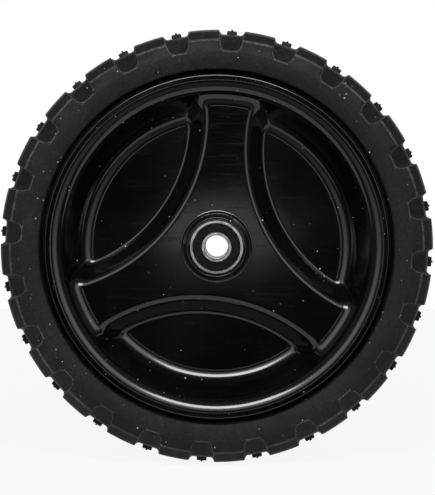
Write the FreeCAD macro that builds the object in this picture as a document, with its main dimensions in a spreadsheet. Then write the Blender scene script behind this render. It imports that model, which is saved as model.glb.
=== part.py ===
import FreeCAD, Part
import math
import os
import Sketcher

# A nine inch lawn mower wheel, in millimetres.
# The axle runs along Y, the outer face looks to -Y and +Z is up.
# Every size below goes into one spreadsheet cell, and the features are bound to those cells.
SIZES = [
    # Tyre
    ("wheel_diameter", "228", "over the centre knobs"),
    ("tyre_width", "42", "over the sidewalls"),
    ("knob_height", "2.2", "centre knob above the crown"),
    ("knob_width", "5", "centre knob around the tread, at its top"),
    ("knob_length", "10", "centre knob across the tread"),
    ("knob_flare", "0.35", "extra half width of a knob at its foot"),
    ("tread_pitches", "24", "notches around the tyre"),
    ("crown_drop", "0.6", "crown radius lost from the middle to the channel edge"),
    ("channel_width", "13", "centre channel between the two rows of blocks"),
    ("block_height", "2", "block above the channel edge"),
    ("block_shoulder_drop", "1.4", "block top radius lost towards the shoulder"),
    ("shoulder_inset", "5.6", "width of the slanted shoulder of a block"),
    ("shoulder_drop", "5", "radius lost over the slanted shoulder"),
    ("notch_end_drop", "5.9", "radius lost from the shoulder to the inner end of a notch"),
    ("notch_knee_drop", "1.9", "notch floor below the channel edge at its knee"),
    ("notch_knee_inset", "7.5", "knee of the notch floor in from the sidewall"),
    ("notch_end_width", "9.6", "notch at its inner end"),
    ("notch_mouth_width", "13.4", "notch at the tread"),
    ("notch_corner", "3.4", "rounded bottom corners of a notch, along its wall"),
    ("sidewall_foot_gap", "2.8", "visible inner edge of the sidewall outside the flange edge"),
    ("bead_height", "3.2", "bead under the flanges, above the drum"),
    ("bead_groove_depth", "6.8", "groove between the bead and the sidewall, from the sidewall foot"),
    ("bead_groove_lean", "0.8", "radius lost down the outer wall of that groove"),
    ("sidewall_foot_inset", "5.2", "sidewall foot in from the widest point"),
    ("sidewall_bulge_radius", "15", "curve of the sidewall"),
    ("tyre_seat_gap", "0.1", "tyre to rim, per side"),
    ("tyre_turn", "4.1", "degrees, rest turn of the tread"),
    # Rim
    ("flange_inset", "3", "flange face in from the sidewall"),
    ("tyre_height", "24.7", "flange edge to the top of the knobs"),
    ("flange_thickness", "3.5", ""),
    ("flange_height", "4.3", "flange edge above the drum that carries the tyre"),
    ("rim_wall", "3", "moulded wall"),
    ("flange_face_width", "6.9", "flange face to the corner of the step"),
    ("step_run", "3.7", "radius lost from the flange face to the recessed spoke face"),
    ("step_depth", "6.8", "spoke face below the flange face"),
    ("flange_round", "0.8", "outer edge of the flange face"),
    ("step_top_round", "6.4", "convex edge of the flange face"),
    ("step_foot_round", "6.4", "concave foot of the step"),
    ("hub_length", "50", "over the hub collars"),
    ("hub_wall", "4.3", "hub tube around the bearings"),
    ("hub_round", "1.4", "outer edge of the hub collars"),
    ("hub_foot_round", "2.2", "hub collar into the spoke face"),
    ("seat_lead", "0.5", "chamfer at the mouth of a bearing seat"),
    ("bearing_stop_height", "1.4", "step at the inner end of a bearing seat"),
    ("pocket_depth", "13.5", "lens pocket below the spoke face"),
    ("pocket_draft", "28.5", "degrees, pocket walls off the axle line"),
    ("pocket_step_gap", "0.2", "outer arc of a pocket inside the foot of the step"),
    ("pocket_hub_gap", "8.9", "spoke side arc outside the hub tube, at the spoke face"),
    ("pocket_arc_radius", "90.6", "spoke side arc at the spoke face"),
    ("pocket_tip_radius", "5.5", "rounded tips at the spoke face"),
    ("pocket_tip_least", "0.4", "tips at the floor"),
    ("pocket_lip_round", "3", "convex lip on the spoke side"),
    ("pocket_foot_round", "3", "foot on the spoke side"),
    ("pocket_rim_foot_round", "7", "foot on the rim side"),
    ("rib_thickness", "2.6", "ribs at the back"),
    ("rib_rim_inset", "6", "rear edge of the ribs below the rear flange face, at the drum"),
    ("rib_hub_inset", "7", "rear edge of the ribs below the rear collar face, at the hub"),
    ("rim_turn", "-25.1", "degrees, rest turn of the rim"),
    # Bearings, spacer and their fits
    ("bearing_bore", "12", ""),
    ("bearing_outer", "28", ""),
    ("bearing_width", "8", ""),
    ("bearing_recess", "0.8", "bearing face below the collar face"),
    ("bearing_seat_gap", "0.02", "outer race to its seat, on the radius"),
    ("bearing_chamfer", "0.4", ""),
    ("ball_count", "8", ""),
    ("ball_share", "0.59525", "ball diameter over bearing width"),
    ("ball_gap", "0.03", "ball to raceway bottom"),
    ("raceway_ratio", "0.53", "raceway radius over ball diameter"),
    ("shoulder_share", "0.651", "race shoulders off the ball circle, over the ball radius"),
    ("outer_recess_step", "0.85", "outer race around a seal, outside its shoulder"),
    ("inner_land_step", "1.05", "inner race under a seal lip, inside its shoulder"),
    ("seal_depth", "1.4", "seal recess, in from the race faces"),
    ("seal_thickness", "0.7", ""),
    ("seal_inset", "0.25", "seal face below the race faces"),
    ("seal_gap", "0.15", "seal lip to the inner race, on the radius"),
    ("seal_rim_gap", "0.02", "seal edge to the outer race, on the radius"),
    ("seal_panel_depth", "0.2", "sunk panel of a seal"),
    ("seal_panel_edge", "0.9", "rims beside the sunk panel"),
    ("cage_gap", "0.08", "ball to cage pocket"),
    ("cage_thickness", "0.4", "sheet of the cage"),
    ("cage_width", "1.8", "cage band on the radius"),
    ("rivet_diameter", "0.8", ""),
    ("rivet_head_diameter", "1.3", ""),
    ("rivet_head_height", "0.25", ""),
    ("rivet_gap", "0.02", "rivet to its hole, on the radius"),
    ("spacer_bore_gap", "0.3", "spacer bore outside the bearing bore, on the radius"),
    ("spacer_wall", "1.9", ""),
]

doc = FreeCAD.newDocument("lawn_mower_wheel")
sheet = doc.addObject("Spreadsheet::Sheet", "Sizes")
for row, (alias, number, note) in enumerate(SIZES, start=1):
    sheet.set("A%d" % row, alias)
    sheet.set("B%d" % row, number)
    sheet.setAlias("B%d" % row, alias)
    sheet.set("C%d" % row, note)
doc.recompute()


class Size:
    """A value together with the spreadsheet expression that it comes from."""

    def __init__(self, value, text):
        self.value = value
        self.text = text

    @staticmethod
    def of(item):
        """Return the item as a Size; a plain number becomes a constant."""
        if isinstance(item, Size):
            return item
        return Size(float(item), "(%.9g)" % item)

    def join(self, sign, other, value):
        """Return the Size of two joined by an arithmetic sign."""
        return Size(value, "(%s %s %s)" % (self.text, sign, other.text))

    def __add__(self, other):
        other = Size.of(other)
        return self.join("+", other, self.value + other.value)

    def __sub__(self, other):
        other = Size.of(other)
        return self.join("-", other, self.value - other.value)

    def __mul__(self, other):
        other = Size.of(other)
        return self.join("*", other, self.value * other.value)

    def __truediv__(self, other):
        other = Size.of(other)
        return self.join("/", other, self.value / other.value)

    def __neg__(self):
        return Size(-self.value, "(-1 * %s)" % self.text)

    __radd__ = __add__
    __rmul__ = __mul__


def size(alias):
    """Return a named size from the spreadsheet."""
    return Size(float(sheet.get(alias)), "Sizes.%s" % alias)


def root(item):
    """Return the square root of a Size."""
    return Size(math.sqrt(max(item.value, 0.0)), "sqrt(%s)" % item.text)


def sine(angle):
    """Return the sine of a Size in degrees."""
    return Size(math.sin(math.radians(angle.value)), "sin(%s)" % angle.text)


def cosine(angle):
    """Return the cosine of a Size in degrees."""
    return Size(math.cos(math.radians(angle.value)), "cos(%s)" % angle.text)


def tangent(angle):
    """Return the tangent of a Size in degrees."""
    return Size(math.tan(math.radians(angle.value)), "tan(%s)" % angle.text)


def larger(first, second):
    """Return the larger of two Sizes."""
    return Size(max(first.value, second.value), "max(%s; %s)" % (first.text, second.text))


ZERO = Size(0.0, "0")

# Places that more than one sub-part shares.
FACE = size("tyre_width") / 2 - size("flange_inset")
FLANGE = size("wheel_diameter") / 2 - size("tyre_height")
SEAT = FLANGE - size("flange_height")
HUB_END = size("hub_length") / 2
HUB = size("bearing_outer") / 2 + size("hub_wall")


def new_body(name):
    """Start a body whose label is the name of the sub-part."""
    body = doc.addObject("PartDesign::Body", name)
    body.Label = name
    return body


def origin_part(body, role):
    """Return one plane or axis of the body's own origin."""
    return next(item for item in body.Origin.OriginFeatures if item.Role == role)


def sketch_on(body, name, role, offset=None):
    """Start a sketch on an origin plane, moved along its normal where an offset is given."""
    sketch = body.newObject("Sketcher::SketchObject", name)
    sketch.AttachmentSupport = [(origin_part(body, role), "")]
    sketch.MapMode = "FlatFace"
    if offset is not None:
        sketch.setExpression("AttachmentOffset.Base.z", offset.text)
    return sketch


def bind(sketch, constraint, item):
    """Add a constraint and tie its value to a Size."""
    index = sketch.addConstraint(constraint)
    sketch.setExpression("Constraints[%d]" % index, item.text)


def pin(sketch, edge, end, place):
    """Tie one end of an edge to its place from the sketch origin."""
    for kind, item in zip(("DistanceX", "DistanceY"), place):
        bind(sketch, Sketcher.Constraint(kind, -1, 1, edge, end, item.value), item)


def vector(place):
    """Return a sketch place as a vector."""
    return FreeCAD.Vector(place[0].value, place[1].value, 0)


def outline(sketch, places):
    """Draw a closed outline.

    Each place is (x, y), or (x, y, radius, side) where an arc leaves it; the arc's centre is on the
    left of the way travelled for side 1 and on the right for side -1.
    """
    ends = []
    for index, place in enumerate(places):
        begin = vector(place)
        finish = vector(places[(index + 1) % len(places)])
        if len(place) == 2:
            edge = sketch.addGeometry(Part.LineSegment(begin, finish), False)
            ends.append((edge, 1, 2))
            continue
        radius, side = place[2], place[3]
        way = finish - begin
        left = FreeCAD.Vector(-way.y, way.x, 0).normalize()
        reach = math.sqrt(max(radius.value ** 2 - (way.Length / 2) ** 2, 0.0))
        centre = (begin + finish) * 0.5 + left * reach * side
        circle = Part.Circle(centre, FreeCAD.Vector(0, 0, 1), radius.value)
        first, last = (begin, finish) if side > 0 else (finish, begin)
        angles = [math.atan2(p.y - centre.y, p.x - centre.x) for p in (first, last)]
        edge = sketch.addGeometry(Part.ArcOfCircle(circle, angles[0], angles[1]), False)
        ends.append((edge, 1, 2) if side > 0 else (edge, 2, 1))
        bind(sketch, Sketcher.Constraint("Radius", edge, radius.value), radius)
    for index, place in enumerate(places):
        edge, start, _ = ends[index]
        before, _, finish = ends[index - 1]
        sketch.addConstraint(Sketcher.Constraint("Coincident", before, finish, edge, start))
        pin(sketch, edge, start, place[:2])


def revolve(body, name, places, kind="PartDesign::Revolution"):
    """Turn an outline of (radius, along Y) places about the axle."""
    sketch = sketch_on(body, name + "_sketch", "XY_Plane")
    outline(sketch, places)
    feature = body.newObject(kind, name)
    feature.Profile = sketch
    feature.ReferenceAxis = (sketch, ["V_Axis"])
    feature.Angle = 360
    sketch.Visibility = False
    body.Tip = feature
    doc.recompute()
    return feature


def around(body, name, originals, count):
    """Repeat features evenly about the axle."""
    pattern = body.newObject("PartDesign::PolarPattern", name)
    pattern.Originals = originals
    pattern.Axis = (origin_part(body, "Y_Axis"), [""])
    pattern.Angle = 360
    pattern.setExpression("Occurrences", count.text)
    body.Tip = pattern
    doc.recompute()
    return pattern


def plate(body, name, role, places, thickness, offset=None, kind="PartDesign::Pad", back=False,
          both=False):
    """Pad or pocket a closed outline, from its plane or evenly to both sides of it."""
    sketch = sketch_on(body, name + "_sketch", role, offset)
    outline(sketch, places)
    feature = body.newObject(kind, name)
    feature.Profile = sketch
    feature.setExpression("Length", thickness.text)
    feature.Reversed = back
    if both:
        feature.Midplane = True
    sketch.Visibility = False
    body.Tip = feature
    doc.recompute()
    return feature


def post(body, name, centre, radius, middle, length, kind="PartDesign::Pad"):
    """Pad or pocket a circle seen along the axle, evenly to both sides of a place along Y."""
    sketch = sketch_on(body, name + "_sketch", "XZ_Plane", -middle)
    circle = Part.Circle(vector(centre), FreeCAD.Vector(0, 0, 1), radius.value)
    edge = sketch.addGeometry(circle, False)
    pin(sketch, edge, 3, centre)
    bind(sketch, Sketcher.Constraint("Radius", edge, radius.value), radius)
    feature = body.newObject(kind, name)
    feature.Profile = sketch
    feature.setExpression("Length", length.text)
    feature.Midplane = True
    sketch.Visibility = False
    body.Tip = feature
    doc.recompute()
    return feature


def ball_at(body, name, radius, away, along):
    """Add a sphere on the X axis side of the axle."""
    feature = body.newObject("PartDesign::AdditiveSphere", name)
    feature.AttachmentSupport = [(origin_part(body, "XY_Plane"), "")]
    feature.MapMode = "FlatFace"
    feature.setExpression("AttachmentOffset.Base.x", away.text)
    feature.setExpression("AttachmentOffset.Base.y", along.text)
    feature.setExpression("Radius", radius.text)
    body.Tip = feature
    doc.recompute()
    return feature


def rod(body, name, radius, start, length, kind="PartDesign::AdditiveCylinder"):
    """Add or cut a round rod that lies along the X axis."""
    feature = body.newObject(kind, name)
    feature.AttachmentSupport = [(origin_part(body, "YZ_Plane"), "")]
    feature.MapMode = "FlatFace"
    feature.setExpression("AttachmentOffset.Base.z", start.text)
    feature.setExpression("Radius", radius.text)
    feature.setExpression("Height", length.text)
    body.Tip = feature
    doc.recompute()
    return feature


def loft(body, name, sketches, kind):
    """Join sketches in order with a ruled loft."""
    feature = body.newObject(kind, name)
    feature.Profile = sketches[0]
    feature.Sections = [(item, [""]) for item in sketches[1:]]
    feature.Ruled = True
    body.Tip = feature
    for item in sketches:
        item.Visibility = False
    doc.recompute()
    return feature


def round_circles(body, name, rings, radius):
    """Round circular edges about the axle, each given as (radius, along Y)."""
    base = body.Tip
    wanted = []
    for number, edge in enumerate(base.Shape.Edges, start=1):
        curve = edge.Curve
        if not isinstance(curve, Part.Circle):
            continue
        for ring_radius, height in rings:
            centre = curve.Center
            off_axis = math.hypot(centre.x, centre.z)
            if (abs(curve.Radius - ring_radius.value) < 0.001 and off_axis < 0.001
                    and abs(centre.y - height.value) < 0.001):
                wanted.append("Edge%d" % number)
    feature = body.newObject("PartDesign::Fillet", name)
    feature.Base = (base, wanted)
    feature.setExpression("Radius", radius.text)
    body.Tip = feature
    doc.recompute()
    return feature


def turn(body, alias):
    """Turn a finished body about the axle by a named angle."""
    body.Placement = FreeCAD.Placement(FreeCAD.Vector(0, 0, 0),
                                       FreeCAD.Rotation(FreeCAD.Vector(0, 1, 0), size(alias).value))
    body.setExpression("Placement.Rotation.Angle", size(alias).text)


def lens_sketch(body, name, height, outer, inner, tip):
    """Draw one section of a lens pocket at a place along Y.

    The outer arc is about the axle and the inner one about a point on the X axis; arcs of radius
    tip join them.
    """
    sketch = sketch_on(body, name, "XZ_Plane", -height)
    away = HUB + size("pocket_hub_gap") + size("pocket_arc_radius")
    reach = outer.value - tip.value
    tip_x = (reach ** 2 - (inner.value - tip.value) ** 2 + away.value ** 2) / (2 * away.value)
    tip_y = math.sqrt(reach ** 2 - tip_x ** 2)
    first = math.atan2(tip_y, tip_x)
    second = math.atan2(tip_y, tip_x - away.value)
    up = FreeCAD.Vector(0, 0, 1)
    arcs = [
        (FreeCAD.Vector(0, 0, 0), outer, -first, first),
        (FreeCAD.Vector(tip_x, tip_y, 0), tip, first, second),
        (FreeCAD.Vector(away.value, 0, 0), inner, second, 2 * math.pi - second),
        (FreeCAD.Vector(tip_x, -tip_y, 0), tip, -second, -first),
    ]
    edges = []
    for centre, radius, begin, finish in arcs:
        circle = Part.Circle(centre, up, radius.value)
        edges.append(sketch.addGeometry(Part.ArcOfCircle(circle, begin, finish), False))
    for index, edge in enumerate(edges):
        follower = edges[(index + 1) % 4]
        sketch.addConstraint(Sketcher.Constraint("Tangent", edge, 2, follower, 1))
    sketch.addConstraint(Sketcher.Constraint("Coincident", edges[0], 3, -1, 1))
    sketch.addConstraint(Sketcher.Constraint("PointOnObject", edges[2], 3, -1))
    bind(sketch, Sketcher.Constraint("DistanceX", -1, 1, edges[2], 3, away.value), away)
    for (centre, radius, begin, finish), edge in zip(arcs, edges):
        bind(sketch, Sketcher.Constraint("Radius", edge, radius.value), radius)
    return sketch


def build_tyre():
    """Rubber tyre: turned carcass and shoulder rings, notches cut through them, centre knobs."""
    body = new_body("tyre")
    half = size("tyre_width") / 2
    crown = size("wheel_diameter") / 2 - size("knob_height")
    channel = size("channel_width") / 2
    edge_radius = crown - size("crown_drop")
    block_inner = edge_radius + size("block_height")
    block_outer = block_inner - size("block_shoulder_drop")
    shoulder = block_outer - size("shoulder_drop")
    shoulder_y = half - size("shoulder_inset")
    notch_end = shoulder - size("notch_end_drop")
    foot = FLANGE + size("sidewall_foot_gap")
    foot_y = half - size("sidewall_foot_inset")
    seat = SEAT + size("tyre_seat_gap")
    seat_y = FACE - size("flange_thickness") - size("tyre_seat_gap")
    bead = SEAT + size("bead_height")
    groove = foot - size("bead_groove_lean")
    groove_y = foot_y - size("bead_groove_depth")
    bulge = size("sidewall_bulge_radius")
    front = [(seat, -seat_y), (bead, -seat_y), (bead, -groove_y), (groove, -groove_y),
             (foot, -foot_y, bulge, 1), (notch_end, -half),
             (shoulder, -half + 0.3), (block_outer, -shoulder_y), (block_inner, -channel),
             (edge_radius, -channel), (crown, ZERO), (edge_radius, channel)]
    rear = [(block_inner, channel), (block_outer, shoulder_y), (shoulder, half - 0.3),
            (notch_end, half, bulge, 1), (foot, foot_y), (groove, groove_y), (bead, groove_y),
            (bead, seat_y), (seat, seat_y)]
    revolve(body, "carcass", front + rear)
    # One notch is three like sections: its floor climbs from the sidewall to the channel.
    slope = ((size("notch_mouth_width") - size("notch_end_width")) / 2) / (block_inner - notch_end)
    top = block_inner + 3
    knee = edge_radius - size("notch_knee_drop")
    knee_y = half - size("notch_knee_inset")
    climb = (knee - notch_end) / size("notch_knee_inset")
    corner = size("notch_corner")
    upright = Size(1.0, "1") / root(slope * slope + 1)
    lean = slope * upright
    corner_round = corner * upright / (Size(1.0, "1") - lean)

    def half_width(radius):
        return size("notch_end_width") / 2 + (radius - notch_end) * slope

    def notch_section(floor):
        flat = half_width(floor) - corner
        wall = half_width(floor) + corner * lean
        rise = floor + corner * upright
        return [(floor, -flat, corner_round, 1), (rise, -wall), (top, -half_width(top)),
                (top, half_width(top)), (rise, wall, corner_round, 1), (floor, flat)]

    cuts = []
    for side, word in ((-1, "front"), (1, "rear")):
        sketches = []
        for step, (floor, height) in enumerate(((notch_end - climb, half + 1), (knee, knee_y),
                                                (edge_radius + 0.15, channel - 0.2))):
            sketch = sketch_on(body, "%s_notch_section_%d" % (word, step), "XZ_Plane",
                               height if side < 0 else -height)
            outline(sketch, notch_section(floor))
            sketches.append(sketch)
        cuts.append(loft(body, word + "_notch", sketches, "PartDesign::SubtractiveLoft"))
    around(body, "notches", cuts, size("tread_pitches"))
    knob_foot = edge_radius - 1
    knob_top = size("wheel_diameter") / 2
    knob_half = size("knob_width") / 2
    flare = knob_half + size("knob_flare")
    knob = plate(body, "knob", "XZ_Plane",
                 [(knob_foot, -flare), (knob_top, -knob_half), (knob_top, knob_half), (knob_foot, flare)],
                 size("knob_length"), both=True)
    around(body, "knobs", [knob], size("tread_pitches"))
    turn(body, "tyre_turn")
    return body


def build_rim():
    """Moulded rim: turned flanges, drum, spoke face and hub, with pockets and ribs."""
    body = new_body("wheel_rim")
    wall = size("rim_wall")
    face = FACE
    flange = FLANGE
    inside_flange = face - size("flange_thickness")
    seat = SEAT
    drum = seat - wall
    run = size("step_run")
    step_top = flange - size("flange_face_width")
    step_foot = step_top - run
    depth = size("step_depth")
    spoke_face = -face + depth
    web_back = spoke_face + wall
    shift = wall * root(run * run + depth * depth) / depth
    back_foot = step_foot - wall * run / depth + shift
    back_top = spoke_face - (drum - shift - step_foot) * depth / run
    hub_end = HUB_END
    hub = HUB
    bore = size("bearing_outer") / 2 - size("bearing_stop_height")
    bearing_seat = size("bearing_outer") / 2 + size("bearing_seat_gap")
    lead = size("seat_lead")
    stop = hub_end - size("bearing_recess") - size("bearing_width")
    revolve(body, "turned_rim", [
        (bearing_seat + lead, -hub_end), (hub, -hub_end), (hub, spoke_face), (step_foot, spoke_face),
        (step_top, -face), (flange, -face), (flange, -inside_flange), (seat, -inside_flange),
        (seat, inside_flange), (flange, inside_flange), (flange, face), (drum, face),
        (drum, back_top), (back_foot, web_back), (hub, web_back), (hub, hub_end),
        (bearing_seat + lead, hub_end), (bearing_seat, hub_end - lead), (bearing_seat, stop),
        (bore, stop), (bore, -stop), (bearing_seat, -stop), (bearing_seat, -hub_end + lead)])
    round_circles(body, "flange_rounds", [(flange, -face), (flange, face)], size("flange_round"))
    round_circles(body, "step_top_rounded", [(step_top, -face)], size("step_top_round"))
    round_circles(body, "step_foot_rounded", [(step_foot, spoke_face)], size("step_foot_round"))
    round_circles(body, "hub_rounded", [(hub, -hub_end), (hub, hub_end)], size("hub_round"))
    round_circles(body, "hub_foot_rounded", [(hub, spoke_face)], size("hub_foot_round"))

    # Lens pockets: first the skins that carry them behind the spoke face, then the hollows.
    draft = size("pocket_draft")
    deep = size("pocket_depth")
    outer = step_foot - size("pocket_step_gap")
    inner = size("pocket_arc_radius")
    tip = size("pocket_tip_radius")
    least = size("pocket_tip_least")
    skin = wall / cosine(draft)
    lean = tangent(draft)
    boss = []
    for step, down in enumerate((wall / 2, deep + wall)):
        boss.append(lens_sketch(body, "boss_section_%d" % step, spoke_face + down,
                                outer - down * lean + skin, inner - down * lean + skin,
                                larger(tip - down * lean + skin, least + wall)))
    three = Size(3.0, "3")
    around(body, "bosses", [loft(body, "boss", boss, "PartDesign::AdditiveLoft")], three)

    turned = 90 - draft.value
    bend = Size(turned, "(90 - %s)" % draft.text)
    rise = Size(1.0, "1") - cosine(bend)
    lip = size("pocket_lip_round")
    foot = size("pocket_foot_round")
    rim_foot = size("pocket_rim_foot_round")
    half_bend = tangent(bend / 2)

    def foot_arc(start, radius, up):
        """Reach of an arc wall at a height above the floor, inside the foot round."""
        corner = start - deep * lean - radius * half_bend
        return corner + root(up * radius * 2 - up * up)

    sections = []
    levels = [Size.of(0.0), foot * rise * 0.15, foot * rise * 0.5, foot * rise]
    for up in levels:
        sections.append((spoke_face + deep - up, foot_arc(outer, rim_foot, up),
                         foot_arc(inner, foot, up), least))
    for share in (0.65, 1.0):
        up = rim_foot * rise * share
        down = deep - up
        sections.append((spoke_face + down, foot_arc(outer, rim_foot, up), inner - down * lean,
                         larger(tip - down * lean, least)))
    for share in (1.0, 0.5, 0.15):
        down = lip * rise * share
        flare = lip * half_bend - root(down * lip * 2 - down * down)
        sections.append((spoke_face + down, outer - down * lean, inner + flare,
                         larger(tip - down * lean, least)))
    flare = lip * half_bend + 0.1
    for down in (Size.of(-0.02), Size.of(-4.0)):
        sections.append((spoke_face + down, outer - down * lean, inner + flare, tip - down * lean))
    sketches = [lens_sketch(body, "pocket_section_%d" % step, *section)
                for step, section in enumerate(sections)]
    around(body, "pockets", [loft(body, "pocket", sketches, "PartDesign::SubtractiveLoft")], three)

    # Ribs at the back, behind the spokes and behind the pockets.
    in_hub = hub - 1.5
    in_drum = drum + 1.5
    low = face - size("rib_rim_inset")
    high = hub_end - size("rib_hub_inset")
    half_web = spoke_face + wall / 2
    spoke_rib = plate(body, "spoke_rib", "XY_Plane", [
        (-in_hub, half_web), (-step_foot, half_web), (-in_drum, -face + wall),
        (-in_drum, low), (-in_hub, high)], size("rib_thickness"), both=True)
    floor_back = spoke_face + deep + wall / 2
    pocket_rib = plate(body, "pocket_rib", "XY_Plane", [
        (in_hub, floor_back), (in_drum, floor_back), (in_drum, low), (in_hub, high)],
        size("rib_thickness"), both=True)
    around(body, "ribs", [spoke_rib, pocket_rib], three)
    turn(body, "rim_turn")
    return body


def build_spacer():
    """Plain tube between the two inner races."""
    body = new_body("spacer_tube")
    reach = size("hub_length") / 2 - size("bearing_recess") - size("bearing_width")
    bore = size("bearing_bore") / 2 + size("spacer_bore_gap")
    outer = bore + size("spacer_wall")
    revolve(body, "tube", [(bore, -reach), (outer, -reach), (outer, reach), (bore, reach)])
    return body


def build_bearing(word, side):
    """One sealed ball bearing, on the front (side -1) or the rear (side 1) of the hub."""
    half = size("bearing_width") / 2
    middle = (size("hub_length") / 2 - size("bearing_recess") - half) * side
    chamfer = size("bearing_chamfer")
    ball = size("bearing_width") * size("ball_share") / 2
    pitch = (size("bearing_bore") + size("bearing_outer")) / 4
    groove = ball * size("raceway_ratio") * 2
    count = size("ball_count")
    recess = half - size("seal_depth")
    bodies = []

    def place(radius, along):
        return (radius, middle + along)

    outer = size("bearing_outer") / 2
    shoulder = pitch + ball * size("shoulder_share")
    land = shoulder + size("outer_recess_step")
    bottom = pitch + ball + size("ball_gap")
    inset = shoulder - (bottom - groove)
    mouth = root(groove * groove - inset * inset)
    body = new_body(word + "_bearing_outer_race")
    revolve(body, "race", [
        place(land, -half), place(outer - chamfer, -half), place(outer, -half + chamfer),
        place(outer, half - chamfer), place(outer - chamfer, half), place(land, half),
        place(land, recess), place(shoulder, recess), place(shoulder, mouth) + (groove, -1),
        place(shoulder, -mouth), place(shoulder, -recess), place(land, -recess)])
    bodies.append(body)

    bore = size("bearing_bore") / 2
    rise = pitch - ball * size("shoulder_share")
    lip_land = rise - size("inner_land_step")
    bottom = pitch - ball - size("ball_gap")
    inset = (bottom + groove) - rise
    mouth = root(groove * groove - inset * inset)
    body = new_body(word + "_bearing_inner_race")
    revolve(body, "race", [
        place(bore + chamfer, -half), place(lip_land, -half), place(lip_land, -recess),
        place(rise, -recess), place(rise, -mouth) + (groove, -1), place(rise, mouth),
        place(rise, recess), place(lip_land, recess), place(lip_land, half),
        place(bore + chamfer, half), place(bore, half - chamfer), place(bore, -half + chamfer)])
    bodies.append(body)

    body = new_body(word + "_bearing_balls")
    around(body, "balls", [ball_at(body, "ball", ball, pitch, middle)], count)
    bodies.append(body)

    # Cage: a flat band at the middle of the balls with a bulge over each ball, in two riveted halves.
    hollow = ball + size("cage_gap")
    sheet_thick = size("cage_thickness")
    crown = hollow + sheet_thick
    near = pitch - size("cage_width") / 2
    far = pitch + size("cage_width") / 2
    step_angle = Size(180.0, "180") / count
    rivet = size("rivet_diameter") / 2
    hole = rivet + size("rivet_gap")
    head = size("rivet_head_diameter") / 2
    head_high = size("rivet_head_height")
    between = (pitch * cosine(step_angle), pitch * sine(step_angle))
    past = crown * 1.5
    wide = far + crown * 2
    inner_past = near - crown * 2
    for half_word in ("front", "rear"):
        body = new_body("%s_bearing_cage_%s_half" % (word, half_word))
        revolve(body, "band", [(near, ZERO), (far, ZERO), (far, sheet_thick), (near, sheet_thick)])
        reach = (near - 1, size("cage_width") + 2)
        around(body, "bulges", [rod(body, "bulge", crown, *reach)], count)
        revolve(body, "inside_trim", [(inner_past, -past), (near, -past), (near, past), (inner_past, past)],
                "PartDesign::Groove")
        revolve(body, "outside_trim", [(far, -past), (wide, -past), (wide, past), (far, past)],
                "PartDesign::Groove")
        revolve(body, "half_trim", [(near - crown, ZERO), (near - crown, -past), (wide, -past), (wide, ZERO)],
                "PartDesign::Groove")
        cup = rod(body, "cup", hollow, *reach, kind="PartDesign::SubtractiveCylinder")
        around(body, "cups", [cup], count)
        hole_cut = post(body, "rivet_hole", between, hole, ZERO, past, "PartDesign::Pocket")
        around(body, "rivet_holes", [hole_cut], count)
        # Both halves are drawn alike; the front one is turned over.
        over = 180 if half_word == "front" else 0
        body.Placement = FreeCAD.Placement(FreeCAD.Vector(0, middle.value, 0),
                                           FreeCAD.Rotation(FreeCAD.Vector(1, 0, 0), over))
        body.setExpression("Placement.Base.y", middle.text)
        bodies.append(body)

    body = new_body(word + "_bearing_rivets")
    pads = [post(body, "shank", between, rivet, middle, (sheet_thick + head_high) * 2)]
    for way, half_word in ((-1, "front"), (1, "rear")):
        head_middle = middle + (sheet_thick + head_high / 2) * way
        pads.append(post(body, half_word + "_head", between, head, head_middle, head_high))
    around(body, "rivets", pads, count)
    bodies.append(body)

    lip = lip_land + size("seal_gap")
    rim_edge = land - size("seal_rim_gap")
    border = size("seal_panel_edge")
    for way, half_word in ((-1, "front"), (1, "rear")):
        body = new_body("%s_bearing_%s_seal" % (word, half_word))
        face = middle + (half - size("seal_inset")) * way
        back = face - size("seal_thickness") * way
        panel = face - size("seal_panel_depth") * way
        revolve(body, "disc", [
            (lip, back), (rim_edge, back), (rim_edge, face), (rim_edge - border * 0.6, face),
            (rim_edge - border, panel), (lip + border, panel), (lip + border * 0.6, face), (lip, face)])
        bodies.append(body)
    return bodies


subparts = [build_tyre(), build_rim(), build_spacer()]
subparts += build_bearing("front", -1)
subparts += build_bearing("rear", 1)
doc.recompute()

# Nothing is written unless every object is sound.
for item in doc.Objects:
    if "Invalid" in item.State or "Error" in item.State:
        raise RuntimeError("%s is %s" % (item.Name, item.State))
for item in subparts:
    if item.Shape.isNull() or not item.Shape.isValid():
        raise RuntimeError("%s has no valid shape" % item.Label)
os.makedirs("parts", exist_ok=True)
for item in subparts:
    item.Shape.exportStep("parts/%s.step" % item.Label)
    print("%-34s %3d solids %10.1f mm3" % (item.Label, len(item.Shape.Solids), item.Shape.Volume))
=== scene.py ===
"""Lawn mower wheel: spoked plastic rim, lugged rubber tyre and sealed ball bearings in the hub."""

import logging
import math
from dataclasses import dataclass
from enum import Enum
from typing import Dict, List, Optional, Sequence, Tuple, Union

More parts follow.
